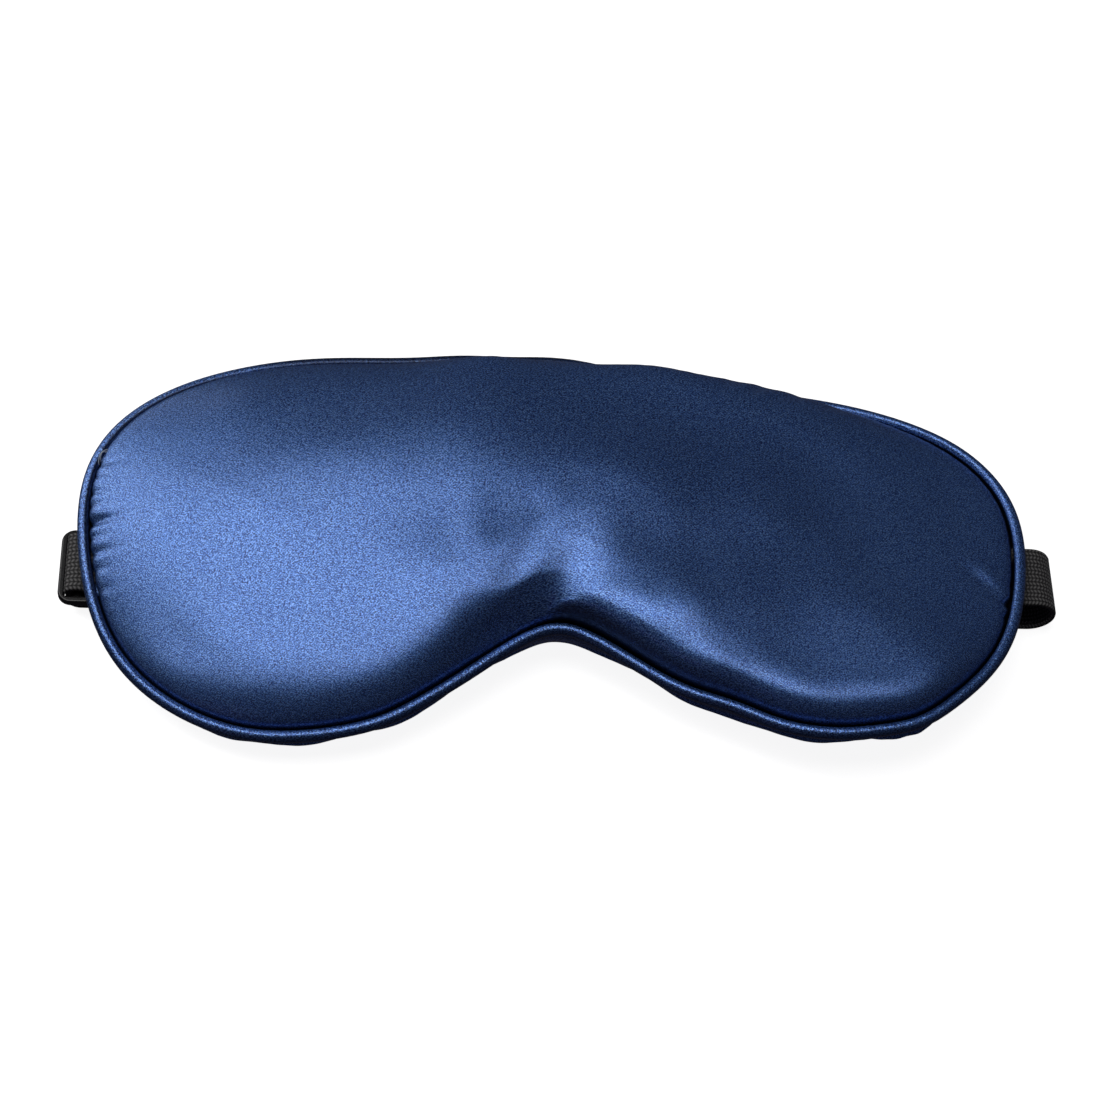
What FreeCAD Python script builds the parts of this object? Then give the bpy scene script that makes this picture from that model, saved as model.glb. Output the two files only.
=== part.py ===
import FreeCAD, Part
import math
import os

# Padded sleep eye mask, millimetres, +Z up.
# It lies face up: the satin face looks up, the face side rests on the table,
# and the elastic strap is folded flat under it.
# Origin: centre of the bounding box, at table level.
# +X runs along the width, +Y towards the forehead edge.

V = FreeCAD.Vector
doc = FreeCAD.newDocument("sleep_mask")

# ---------------------------------------------------------------- dimensions
sheet = doc.addObject("Spreadsheet::Sheet", "dims")
CELLS = [
    # outline of the piping's outer edge, r(a) = sum(oc_k * cos(k a)), a from +Y
    ("oc_a", 70.806), ("oc_b", -1.685), ("oc_c", -34.956), ("oc_d", 8.883),
    ("oc_e", 1.732), ("oc_f", 1.397), ("oc_g", 0.505), ("oc_h", -1.845),
    ("oc_i", 0.391), ("oc_j", 0.020), ("oc_k", 0.243), ("oc_l", -0.114),
    ("oc_m", -0.183), ("oc_n", 0.328),
    ("body_x", -1.6), ("body_y", -0.636), ("polar_y", 6.0),
    ("seam_z", 13.0), ("face_height", 11.4), ("back_depth", 13.0),
    ("panel_wall", 0.6), ("liner_wall", 0.4), ("panel_inset", 3.75),
    ("piping_dia", 2.8), ("piping_wall", 0.35), ("piping_cord_dia", 2.0),
    ("thread_dia", 0.36), ("thread_inset", 3.27),
    ("strap_width", 15.0), ("strap_thick", 1.0), ("strap_y", -5.0),
    ("run_start", -105.85), ("turn_x", 108.3), ("turn_mid", 5.2),
    ("turn_z", 5.7), ("strap_end_x", 97.0),
    ("pivot_x", -101.5), ("pivot_z", 5.3),
    ("frame_long", 10.2), ("frame_wide", 19.0), ("frame_thick", 1.8),
    ("frame_left", -110.8), ("bar_outer", 1.6), ("slot_outer", 2.0),
    ("bar_mid", 1.8), ("slot_inner", 3.0), ("bar_inner", 1.8),
    ("frame_side", 1.7), ("frame_corner", 3.0), ("slot_corner", 0.5), ("frame_round", 0.5),
    ("ring_mid", 1.65), ("tail_z", 1.7), ("tail_long", 22.0),
    ("hem_long", 8.0), ("tab_top_z", 11.3),
]
for row, (name, value) in enumerate(CELLS, start=1):
    sheet.set("A%d" % row, name)
    sheet.set("B%d" % row, repr(float(value)))
    sheet.setAlias("B%d" % row, name)
doc.recompute()


def D(name):
    return float(getattr(sheet, name))


BX, BY = D("body_x"), D("body_y")
SY = D("strap_y") + BY            # strap centre line in the part's frame
SEAM = D("seam_z")

made = []


def finish(obj, label):
    obj.Label = label
    made.append(obj)
    return obj


def feature(label, shape, at=(0, 0, 0)):
    """A sub-part whose free-form shape is made here from the sheet's sizes."""
    f = doc.addObject("Part::Feature", label)
    f.Shape = shape
    f.Placement = FreeCAD.Placement(V(*at), FreeCAD.Rotation())
    return finish(f, label)


# ---------------------------------------------------------------- the outline
COEF = [D("oc_" + c) for c in "abcdefghijklmn"]
PY = D("polar_y")


def rim(a):
    r = sum(c * math.cos(k * a) for k, c in enumerate(COEF))
    return r * math.sin(a), PY + r * math.cos(a)


def rim_points(inset, count):
    """Points of the outline moved inwards along its normal."""
    pts = []
    for i in range(count):
        a = 2 * math.pi * (i + 0.5) / count
        x, y = rim(a)
        x1, y1 = rim(a - 1e-4)
        x2, y2 = rim(a + 1e-4)
        tx, ty = x2 - x1, y2 - y1
        n = math.hypot(tx, ty)
        pts.append((x + inset * ty / n, y - inset * tx / n))
    return pts


def section(inset, scale, z, count=64):
    pts = rim_points(inset, count)
    vs = [V(x * scale + BX, PY + (y - PY) * scale + BY, z) for x, y in pts]
    c = Part.BSplineCurve()
    c.interpolate(Points=vs, PeriodicFlag=True)
    return Part.Wire([c.toShape()])


def puff(inset, height, levels, up):
    """Closed crowned solid on the seam plane, through scaled outlines."""
    ws = []
    for frac, scale in levels:
        z = SEAM + (frac * height if up else -frac * height)
        ws.append(section(inset, scale, z))
    s = Part.makeLoft(ws, True, False)
    if s.Volume < 0:
        s.reverse()
    return s


FACE = [(0.0, 1.0), (0.30, 0.985), (0.60, 0.90), (0.80, 0.76), (0.93, 0.54), (0.985, 0.33)]
BACK = [(0.0, 1.0), (0.30, 0.985), (0.60, 0.95), (0.80, 0.90), (0.93, 0.84), (1.0, 0.77)]
W = D("panel_wall")
LW = D("liner_wall")
INS = D("panel_inset")
face_out = puff(INS, D("face_height"), FACE, True)
face_in = puff(INS + W, D("face_height") - W, FACE, True)
back_out = puff(INS, D("back_depth"), BACK, False)
back_in = puff(INS + W, D("back_depth") - W, BACK, False)
fill_low = puff(INS + W + LW, D("back_depth") - W - LW, BACK, False)


def bx(x0, y0, z0, x1, y1, z1):
    """Box given in the body's own frame."""
    return Part.makeBox(x1 - x0, y1 - y0, z1 - z0, V(x0 + BX, y0 + BY, z0))


SYB = D("strap_y")
HW = D("strap_width") / 2
# strap channel and slider pocket pressed into the face side
def hollows(g):
    a = bx(-130, SYB - HW - 0.9 - g, -2, 130, SYB + HW + 0.9 + g, 3.9 + g)
    b = bx(-130, SYB - D("frame_wide") / 2 - 0.9 - g, -2, -98.6 + g,
           SYB + D("frame_wide") / 2 + 0.9 + g, 10.4 + g)
    return a.fuse(b)


# where the strap's end and the tab are caught in the seam
end_cut = bx(D("strap_end_x") - 0.3, SYB - HW - 0.1, 10.3, 106.0, SYB + HW + 0.1, 11.9)
tab_cut = bx(-104.9, SYB - HW - 0.1, 9.8, -100.5, SYB + HW + 0.1, 12.3)

back_out = back_out.cut(hollows(0))
back_in = back_in.cut(hollows(W))
fill_low = fill_low.cut(hollows(W + LW))

front_panel = face_out.cut(face_in)
back_panel = back_out.cut(back_in).cut(end_cut).cut(tab_cut)
liner = back_in.cut(fill_low).cut(end_cut).cut(tab_cut)
filling = face_in.fuse(fill_low.cut(end_cut).cut(tab_cut)).removeSplitter()

feature("front_panel", front_panel)
feature("back_panel", back_panel)
feature("blackout_liner", liner)
feature("filling_pad", filling)


# ---------------------------------------------------------------- tubes round the rim
def smooth_loop(inset, z, count=64):
    """Closed path of straight runs joined by tangent arcs."""
    pts = [V(x + BX, y + BY, z) for x, y in rim_points(inset, count)]
    n = len(pts)
    mids, arcs = [], []
    edges = []
    for i in range(n):
        p0, p1, p2 = pts[i - 1], pts[i], pts[(i + 1) % n]
        d1 = p0.sub(p1)
        d2 = p2.sub(p1)
        cut = 0.48 * min(d1.Length, d2.Length)
        u1 = V(d1).normalize()
        u2 = V(d2).normalize()
        a = p1.add(V(u1).multiply(cut))
        b = p1.add(V(u2).multiply(cut))
        bis = u1.add(u2)
        if bis.Length < 1e-6:
            arcs.append((a, None, b))
            continue
        half = u1.getAngle(u2) / 2
        r = cut * math.tan(half)
        bis = bis.normalize()
        c = p1.add(V(bis).multiply(cut / math.cos(half)))
        m = c.sub(V(bis).multiply(r))
        arcs.append((a, m, b))
    for i in range(n):
        a, m, b = arcs[i]
        nxt = arcs[(i + 1) % n][0]
        if m is None:
            edges.append(Part.LineSegment(a, b).toShape())
        else:
            edges.append(Part.Arc(a, m, b).toShape())
        edges.append(Part.LineSegment(b, nxt).toShape())
    return Part.Wire(edges)


def tube(path, radius):
    e = path.Edges[-1]
    p = e.valueAt(e.LastParameter)
    t = e.tangentAt(e.LastParameter)
    first = path.Edges[0]
    p = first.valueAt(first.FirstParameter)
    t = first.tangentAt(first.FirstParameter)
    prof = Part.Wire([Part.makeCircle(radius, p, t)])
    s = path.makePipeShell([prof], True, False)
    if s.Volume < 0:
        s.reverse()
    return s


pr = D("piping_dia") / 2
pipe_path = smooth_loop(pr, SEAM, 96)
outer = tube(pipe_path, pr)
inner = tube(pipe_path, pr - D("piping_wall"))
cord = tube(pipe_path, D("piping_cord_dia") / 2)
feature("piping_cover", outer.cut(inner))
feature("piping_cord", cord)
thread_path = smooth_loop(D("thread_inset"), SEAM, 96)
feature("seam_thread", tube(thread_path, D("thread_dia") / 2))

# ---------------------------------------------------------------- strap, right side
# flat run on the table
run = doc.addObject("Part::Box", "strap_run")
run.setExpression("Length", "dims.turn_x - dims.run_start")
run.setExpression("Width", "dims.strap_width")
run.setExpression("Height", "dims.strap_thick")
run.setExpression("Placement.Base.x", "dims.run_start + dims.body_x")
run.setExpression("Placement.Base.y", "dims.strap_y + dims.body_y - dims.strap_width / 2")
finish(run, "strap_run")


def half_ring(prefix, r_out, r_in, x_expr, z_expr, turn):
    """Half or quarter tube with its axis along Y, bound to the sheet."""
    out = []
    for part, rad in (("out", r_out), ("in", r_in)):
        c = doc.addObject("Part::Cylinder", prefix + "_" + part)
        c.setExpression("Radius", rad)
        c.setExpression("Height", "dims.strap_width" if part == "out" else "dims.strap_width + 2")
        c.Angle = turn[0]
        c.Placement = FreeCAD.Placement(V(0, 0, 0), turn[1])
        c.setExpression("Placement.Base.x", x_expr)
        c.setExpression("Placement.Base.z", z_expr)
        c.setExpression("Placement.Base.y",
                        "dims.strap_y + dims.body_y + %s" %
                        ("dims.strap_width / 2" if part == "out" else "dims.strap_width / 2 + 1"))
        out.append(c)
    cut = doc.addObject("Part::Cut", prefix)
    cut.Base, cut.Tool = out
    return cut


# cylinder's own Z is turned to -Y; its angle then runs from +X towards +Z
TO_Y = FreeCAD.Rotation(V(1, 0, 0), 90)
right_half = FreeCAD.Rotation(V(0, 1, 0), 90).multiply(TO_Y)

turn_ring = half_ring("turn_ring", "dims.turn_mid + dims.strap_thick / 2",
                      "dims.turn_mid - dims.strap_thick / 2",
                      "dims.turn_x + dims.body_x", "dims.turn_z", (180, right_half))
end_lay = doc.addObject("Part::Box", "end_lay")
end_lay.setExpression("Length", "dims.turn_x - dims.strap_end_x")
end_lay.setExpression("Width", "dims.strap_width")
end_lay.setExpression("Height", "dims.strap_thick")
end_lay.setExpression("Placement.Base.x", "dims.strap_end_x + dims.body_x")
end_lay.setExpression("Placement.Base.y", "dims.strap_y + dims.body_y - dims.strap_width / 2")
end_lay.setExpression("Placement.Base.z", "dims.turn_z + dims.turn_mid - dims.strap_thick / 2")
right = doc.addObject("Part::Fuse", "strap_right_turn")
right.Base, right.Tool = turn_ring, end_lay
finish(right, "strap_right_turn")

bar = doc.addObject("Part::Box", "strap_end_bartack")
bar.Length = 1.2
bar.setExpression("Width", "dims.strap_width - 2")
bar.Height = 0.35
bar.setExpression("Placement.Base.x", "dims.strap_end_x + dims.body_x + 2")
bar.setExpression("Placement.Base.y", "dims.strap_y + dims.body_y - dims.strap_width / 2 + 1")
bar.setExpression("Placement.Base.z", "dims.turn_z + dims.turn_mid + dims.strap_thick / 2")
finish(bar, "strap_end_bartack")

# ---------------------------------------------------------------- slider frame (three bars)
body = doc.addObject("PartDesign::Body", "strap_slider")
body.Label = "strap_slider"
doc.recompute()
xy = [o for o in body.Origin.OriginFeatures if o.Role == "XY_Plane"][0]


def rect(sk, x0, y0, x1, y1, names):
    """Rectangle whose four sides are bound to the sheet; names give the expressions."""
    n = sk.GeometryCount
    p = [V(x0, y0, 0), V(x1, y0, 0), V(x1, y1, 0), V(x0, y1, 0)]
    for i in range(4):
        sk.addGeometry(Part.LineSegment(p[i], p[(i + 1) % 4]), False)
    for i in range(4):
        sk.addConstraint(Sk("Coincident", n + i, 2, n + (i + 1) % 4, 1))
    sk.addConstraint(Sk("Horizontal", n))
    sk.addConstraint(Sk("Horizontal", n + 2))
    sk.addConstraint(Sk("Vertical", n + 1))
    sk.addConstraint(Sk("Vertical", n + 3))
    for key, (a, b) in {"left": ("DistanceX", x0), "right": ("DistanceX", x1),
                        "low": ("DistanceY", y0), "high": ("DistanceY", y1)}.items():
        pt = {"left": (n, 1), "right": (n, 2), "low": (n, 1), "high": (n + 2, 1)}[key]
        k = sk.addConstraint(Sk(a, -1, 1, pt[0], pt[1], b))
        sk.setExpression("Constraints[%d]" % k, names[key])


import Sketcher
Sk = Sketcher.Constraint

fl = D("frame_long")
fw = D("frame_wide")
sk = body.newObject("Sketcher::SketchObject", "frame_plan")
sk.AttachmentSupport = [(xy, "")]
sk.MapMode = "FlatFace"
# the sketch's origin is the frame's left edge on the strap's centre line
rect(sk, 0.0, -fw / 2, fl, fw / 2, {
    "left": "0 mm", "right": "dims.frame_long * 1 mm",
    "low": "-dims.frame_wide / 2 * 1 mm", "high": "dims.frame_wide / 2 * 1 mm"})
s0 = D("bar_outer")
s1 = s0 + D("slot_outer")
rect(sk, s0, -fw / 2 + 1.7, s1, fw / 2 - 1.7, {
    "left": "dims.bar_outer * 1 mm", "right": "(dims.bar_outer + dims.slot_outer) * 1 mm",
    "low": "(-dims.frame_wide / 2 + dims.frame_side) * 1 mm",
    "high": "(dims.frame_wide / 2 - dims.frame_side) * 1 mm"})
t0 = s1 + D("bar_mid")
t1 = t0 + D("slot_inner")
rect(sk, t0, -fw / 2 + 1.7, t1, fw / 2 - 1.7, {
    "left": "(dims.bar_outer + dims.slot_outer + dims.bar_mid) * 1 mm",
    "right": "(dims.bar_outer + dims.slot_outer + dims.bar_mid + dims.slot_inner) * 1 mm",
    "low": "(-dims.frame_wide / 2 + dims.frame_side) * 1 mm",
    "high": "(dims.frame_wide / 2 - dims.frame_side) * 1 mm"})
doc.recompute()
pad = body.newObject("PartDesign::Pad", "frame_pad")
pad.Profile = sk
pad.setExpression("Length", "dims.frame_thick")
doc.recompute()


def pick(shape, test):
    return ["Edge%d" % (i + 1) for i, e in enumerate(shape.Edges) if test(e)]


def corner(e):
    p, q = e.Vertexes[0].Point, e.Vertexes[-1].Point
    upright = abs(p.x - q.x) < 1e-6 and abs(p.y - q.y) < 1e-6
    return upright and abs(abs(p.y) - fw / 2) < 1e-4 and (p.x < 1e-4 or abs(p.x - fl) < 1e-4)


fil = body.newObject("PartDesign::Fillet", "frame_corners")
fil.Base = (pad, pick(pad.Shape, corner))
fil.setExpression("Radius", "dims.frame_corner")
doc.recompute()


def slot_corner(e):
    p, q = e.Vertexes[0].Point, e.Vertexes[-1].Point
    upright = abs(p.x - q.x) < 1e-6 and abs(p.y - q.y) < 1e-6
    return upright and abs(p.y) < fw / 2 - 1.0 and abs(abs(p.y) - (fw / 2 - D("frame_side"))) < 1e-4


fil3 = body.newObject("PartDesign::Fillet", "slot_corners")
fil3.Base = (fil, pick(fil.Shape, slot_corner))
fil3.setExpression("Radius", "dims.slot_corner")
doc.recompute()


def flat_edge(e):
    zs = [v.Point.z for v in e.Vertexes]
    return max(zs) - min(zs) < 1e-6


fil2 = body.newObject("PartDesign::Fillet", "frame_rounding")
fil2.Base = (fil3, pick(fil3.Shape, flat_edge))
fil2.setExpression("Radius", "dims.frame_round")
doc.recompute()
body.setExpression("Placement.Base.x", "dims.frame_left + dims.body_x")
body.setExpression("Placement.Base.y", "dims.strap_y + dims.body_y")
body.setExpression("Placement.Base.z", "dims.pivot_z - dims.frame_thick / 2")
finish(body, "strap_slider")


# ---------------------------------------------------------------- strap through the slider
def ribbon(pts, radii, t, w, y_mid):
    """Flat strap of thickness t along a path of lines and tangent arcs in XZ."""
    P = [V(x + BX, y_mid - w / 2, z) for x, z in pts]
    n = len(P)
    sides = {}
    for s in (1, -1):
        es = []
        ends = []
        for i in range(n):
            if i == 0 or i == n - 1:
                d = (P[1].sub(P[0]) if i == 0 else P[-1].sub(P[-2])).normalize()
                nrm = V(-d.z, 0, d.x)
                ends.append((P[i].add(V(nrm).multiply(s * t / 2)), None, None))
                continue
            u1 = P[i - 1].sub(P[i]).normalize()
            u2 = P[i + 1].sub(P[i]).normalize()
            half = u1.getAngle(u2) / 2
            r = radii[i - 1]
            L = r / math.tan(half)
            bis = u1.add(u2).normalize()
            c = P[i].add(V(bis).multiply(r / math.sin(half)))
            d = V(u1).multiply(-1)
            nrm = V(-d.z, 0, d.x)
            inside = nrm.dot(c.sub(P[i])) > 0
            rr = r - s * t / 2 if inside else r + s * t / 2
            a = P[i].add(V(u1).multiply(L))
            b = P[i].add(V(u2).multiply(L))
            a2 = c.add(a.sub(c).normalize().multiply(rr))
            b2 = c.add(b.sub(c).normalize().multiply(rr))
            m2 = c.sub(V(bis).multiply(rr))
            ends.append((a2, m2, b2))
        for i in range(n - 1):
            start = ends[i][2] if ends[i][2] is not None else ends[i][0]
            stop = ends[i + 1][0]
            if start.sub(stop).Length > 1e-5:
                es.append(Part.LineSegment(start, stop).toShape())
            if ends[i + 1][1] is not None:
                a2, m2, b2 = ends[i + 1]
                es.append(Part.Arc(a2, m2, b2).toShape())
        sides[s] = (es, ends[0][0], ends[-1][0])
    cap0 = Part.LineSegment(sides[1][1], sides[-1][1]).toShape()
    cap1 = Part.LineSegment(sides[1][2], sides[-1][2]).toShape()
    wire = Part.Wire(Part.__sortEdges__(sides[1][0] + sides[-1][0] + [cap0, cap1]))
    face = Part.Face(wire)
    s = face.extrude(V(0, w, 0))
    if s.Volume < 0:
        s.reverse()
    return s


T = D("strap_thick")
SW = D("strap_width")
rm = D("ring_mid")
pz = D("pivot_z")
px = D("pivot_x")
mid_x = D("frame_left") + D("bar_outer") + D("slot_outer") + D("bar_mid") / 2
leg_l = mid_x - rm
leg_r = mid_x + rm
top = pz + rm
turn = ribbon(
    [(D("run_start"), T / 2), (leg_l, T / 2), (leg_l, top), (leg_r, top), (leg_r, D("tail_z")), (px, D("tail_z"))],
    [abs(D("run_start") - leg_l) - 1e-3, rm - 1e-3, rm - 1e-3, 1.5],
    T, SW, SY)
feature("strap_slider_turn", turn)

# free tail with its folded hem
tail_path = bx(px, SYB - SW / 2, D("tail_z") - T / 2, px + D("tail_long"), SYB + SW / 2, D("tail_z") + T / 2)
hem = bx(px + D("tail_long") - D("hem_long"), SYB - SW / 2, D("tail_z") + T / 2,
         px + D("tail_long"), SYB + SW / 2, D("tail_z") + 3 * T / 2)
tail = tail_path.fuse(hem).removeSplitter()
feature("strap_tail", tail)
rows = [bx(px + D("tail_long") - D("hem_long") + k, SYB - SW / 2 + 1, D("tail_z") + 3 * T / 2,
           px + D("tail_long") - D("hem_long") + k + 0.8, SYB + SW / 2 - 1, D("tail_z") + 3 * T / 2 + 0.25)
        for k in (1.2, 6.0)]
feature("tail_hem_thread", Part.makeCompound(rows))

# tab that holds the slider's inner bar, both legs caught in the seam
tl, tr = -103.5, -102.3
tab = ribbon(
    [(tl, D("tab_top_z")), (px - rm, pz + 1.2), (px - rm, pz - rm), (px + rm, pz - rm), (px + rm, pz + 1.2), (tr, D("tab_top_z"))],
    [6.0, rm - 1e-3, rm - 1e-3, 3.0],
    T, SW, SY)
feature("strap_tab", tab)

# short row of close stitches across the tab's outer leg, just under the seam
slope = ((px - rm) - tl) / (D("tab_top_z") - (pz + 1.2))
norm = math.hypot(1, slope)
off = (T / 2 + 0.125) * norm


def leg_x(z):
    return tl + (D("tab_top_z") - z) * slope - off


feature("tab_bartack", ribbon([(leg_x(9.7), 9.7), (leg_x(8.6), 8.6)], [], 0.25, SW - 2, SY))

doc.recompute()

# ---------------------------------------------------------------- checks and files
for o in doc.Objects:
    bad = [s for s in o.State if s in ("Invalid", "Error")]
    if bad:
        raise RuntimeError("%s: %s" % (o.Name, bad))
names = set()
box = FreeCAD.BoundBox()
for o in made:
    sh = o.Shape
    if sh.isNull() or not sh.isValid() or not sh.Solids:
        raise RuntimeError("bad shape: " + o.Label)
    if o.Label in names:
        raise RuntimeError("name used twice: " + o.Label)
    names.add(o.Label)
    b = FreeCAD.BoundBox()
    for p in sh.tessellate(0.1)[0]:
        b.add(p)
    box.add(b)
    print("%-20s solids %d vol %9.1f  x %.2f..%.2f y %.2f..%.2f z %.2f..%.2f" % (
        o.Label, len(sh.Solids), sh.Volume, b.XMin, b.XMax, b.YMin, b.YMax, b.ZMin, b.ZMax))
print("box", box)
os.makedirs("parts", exist_ok=True)
for o in made:
    o.Shape.exportStep("parts/%s.step" % o.Label)
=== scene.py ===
import math

import bpy
import numpy as np
from mathutils import Matrix, Vector


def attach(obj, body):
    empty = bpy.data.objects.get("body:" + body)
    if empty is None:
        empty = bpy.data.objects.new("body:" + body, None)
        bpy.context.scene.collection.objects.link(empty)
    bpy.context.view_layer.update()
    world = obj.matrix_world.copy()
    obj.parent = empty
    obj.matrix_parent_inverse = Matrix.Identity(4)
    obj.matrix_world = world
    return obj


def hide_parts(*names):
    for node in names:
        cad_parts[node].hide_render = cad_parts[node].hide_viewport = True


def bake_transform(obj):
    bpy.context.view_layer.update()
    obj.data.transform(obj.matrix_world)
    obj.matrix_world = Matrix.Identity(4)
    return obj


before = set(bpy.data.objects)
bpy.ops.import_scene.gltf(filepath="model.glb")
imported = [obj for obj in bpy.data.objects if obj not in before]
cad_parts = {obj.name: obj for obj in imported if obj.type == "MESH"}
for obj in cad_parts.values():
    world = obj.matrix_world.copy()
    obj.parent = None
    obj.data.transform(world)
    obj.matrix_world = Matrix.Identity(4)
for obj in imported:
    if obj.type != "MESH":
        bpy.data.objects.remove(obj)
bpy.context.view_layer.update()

MM = 0.001
SC = bpy.context.scene
RNG = np.random.default_rng(11)

# ------------------------------------------------------------------ shared sizes, mm, as in the CAD sheet
COEF = np.array([70.806, -1.685, -34.956, 8.883, 1.732, 1.397, 0.505, -1.845,
                 0.391, 0.020, 0.243, -0.114, -0.183, 0.328])
BX, BY, PY = -1.6, -0.636, 6.0
SEAM = 13.0
STRAP_Y, STRAP_W, STRAP_T = -5.0, 15.0, 1.0


# ------------------------------------------------------------------ camera
def make_camera():
    az, roll, tx, ty, dist = -8.230, 8.362, 3.50, 19.99, 616.43
    el, f = 58.0, 2700.0
    a, e, r = math.radians(az), math.radians(el), math.radians(roll)
    back = Vector((math.sin(a) * math.cos(e), -math.cos(a) * math.cos(e), math.sin(e)))
    fwd = -back
    right = fwd.cross(Vector((0, 0, 1))).normalized()
    up = right.cross(fwd)
    rr = math.cos(r) * right + math.sin(r) * up
    uu = -math.sin(r) * right + math.cos(r) * up
    target = Vector((BX, BY, SEAM - 12.0))
    cam = bpy.data.cameras.new("camera")
    cam.sensor_width = 36.0
    cam.lens = f / 1100 * 36.0
    cam.shift_x = -tx / 1100
    cam.shift_y = ty / 1100
    cam.clip_start = 0.01
    cam.clip_end = 20
    ob = bpy.data.objects.new("camera", cam)
    m = Matrix((rr, uu, back)).transposed().to_4x4()
    m.translation = (target + back * dist) * MM
    ob.matrix_world = m
    SC.collection.objects.link(ob)
    SC.camera = ob
    return ob


make_camera()


# ------------------------------------------------------------------ small maths
def smooth(a, b, x):
    t = np.clip((np.asarray(x, float) - a) / (b - a), 0, 1)
    return t * t * (3 - 2 * t)


def bump(a, b, x, soft=0.5):
    """1 in the middle of [a, b], falling smoothly to 0 at both ends."""
    m = (b - a) * 0.5 * soft
    return smooth(a, a + m, x) * (1 - smooth(b - m, b, x))


# the lower edge hangs a little higher (+) or lower (-) than the cut line once stuffed: size, place along X, half width, mm
LIFT = ((1.7, -1.0, 12.0), (0.75, 48.0, 15.0), (1.7, 36.5, 9.0), (-1.2, 79.0, 8.0), (-0.5, -37.0, 8.0), (0.5, -57.0, 12.0))


def rim(t, inset=0.0):
    """Point of the outline at angle t (from +Y, clockwise), moved in along its normal. Body frame, mm."""
    t = np.asarray(t, float)

    def p(q):
        r = sum(c * np.cos(k * q) for k, c in enumerate(COEF))
        px, py = r * np.sin(q), PY + r * np.cos(q)
        up = sum(a * np.exp(-((px - c) / w) ** 2) for a, c, w in LIFT)
        return px, py + up * smooth(5, 15, -py)

    x, y = p(t)
    x1, y1 = p(t - 1e-4)
    x2, y2 = p(t + 1e-4)
    tx, ty = x2 - x1, y2 - y1
    n = np.hypot(tx, ty)
    nx, ny = -ty / n, tx / n      # outward
    return x - inset * nx, y - inset * ny, nx, ny


_x, _y, _nx, _ny = rim(np.array([0.3]))
OUT = 1.0 if (_nx[0] * _x[0] + _ny[0] * (_y[0] - PY)) > 0 else -1.0


def rim_in(t, inset):
    x, y, nx, ny = rim(t, OUT * inset)
    return x, y, OUT * nx, OUT * ny


def droop(t):
    """Where the top right edge is hidden: the piping hangs back under the swollen pad."""
    a = np.degrees(np.mod(t + math.pi, 2 * math.pi) - math.pi)
    return smooth(4, 34, a) * (1 - smooth(52, 77, a))


DROP = 2.0      # mm


def seam_z(x, y):
    """The soft body lies slightly twisted and bowed on the table."""
    return SEAM - 0.35 * (x / 107) ** 2 - 5.67 * (x / 100) * (y / 50) - 0.93 * (y / 47) ** 2


# swelling: solution of lap(phi) = -1 in the outline, by harmonic polynomials
def swell_setup(inset):
    t = np.linspace(0, 2 * math.pi, 1440, endpoint=False)
    x, y, _, _ = rim_in(t, inset)
    z = ((y - PY) + 1j * x) / 107.0
    K = 30
    A = np.stack([(z ** k).real for k in range(K)], 1)
    b = (x ** 2 + (y - PY) ** 2) / 4
    co = np.linalg.lstsq(A, b, rcond=None)[0]
    res = b - A @ co
    return co, t, res


SW_CO, SW_T, SW_RES = swell_setup(2.5)


def swell(x, y, rho, t):
    z = ((y - PY) + 1j * x) / 107.0
    u = np.zeros_like(x)
    zp = np.ones_like(z)
    for c in SW_CO:
        u += c * zp.real
        zp = zp * z
    res = np.interp(np.mod(t, 2 * math.pi), SW_T, SW_RES, period=2 * math.pi)
    return np.maximum(u + res * rho ** 12 - (x ** 2 + (y - PY) ** 2) / 4, 0)


def wobble(u, v, seed, n=10, lo=0.02, hi=0.08):
    """Smooth seeded noise, about -1..1, wave numbers lo..hi per mm."""
    g = np.random.default_rng(seed)
    out = np.zeros_like(np.asarray(u, float) + np.asarray(v, float))
    for _ in range(n):
        k = g.uniform(lo, hi) * 2 * math.pi
        a = g.uniform(0, 2 * math.pi)
        out += np.sin(k * (u * math.cos(a) + v * math.sin(a)) + g.uniform(0, 6.28))
    return out / math.sqrt(n)


def arc_length(t):
    q = np.linspace(0, 2 * math.pi, 4001)
    x, y, _, _ = rim_in(q, 1.4)
    s = np.r_[0, np.cumsum(np.hypot(np.diff(x), np.diff(y)))]
    return np.interp(np.mod(t, 2 * math.pi), q, s), s[-1]


# ------------------------------------------------------------------ mesh helpers
def mesh_object(name, verts_mm, faces, uv=None, smooth_shade=True, shade=None):
    me = bpy.data.meshes.new(name)
    v = np.asarray(verts_mm, float) + np.array([BX, BY, 0.0])
    me.from_pydata((v * MM).tolist(), [], faces)
    me.update()
    if uv is not None:
        layer = me.uv_layers.new(name="cloth")
        idx = np.zeros(len(me.loops), np.int32)
        me.loops.foreach_get("vertex_index", idx)
        layer.data.foreach_set("uv", (np.asarray(uv, float)[idx]).astype(np.float32).ravel())
    # per-vertex painted shade, read by the satin material to darken its colour
    if shade is not None:
        at = me.attributes.new("shade", "FLOAT", "POINT")
        at.data.foreach_set("value", np.asarray(shade, np.float32))
    if smooth_shade:
        me.polygons.foreach_set("use_smooth", [True] * len(me.polygons))
    ob = bpy.data.objects.new(name, me)
    SC.collection.objects.link(ob)
    return ob


def polar_faces(nt, nr, flip=False):
    """Vertex 0 is the middle; ring i (1..nr) starts at 1 + (i-1)*nt."""
    faces = []
    for j in range(nt):
        k = (j + 1) % nt
        faces.append((0, 1 + k, 1 + j))
    for i in range(nr - 1):
        a = 1 + i * nt
        b = a + nt
        for j in range(nt):
            k = (j + 1) % nt
            faces.append((a + j, a + k, b + k, b + j))
    if flip:
        faces = [tuple(reversed(f)) for f in faces]
    return faces


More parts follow.
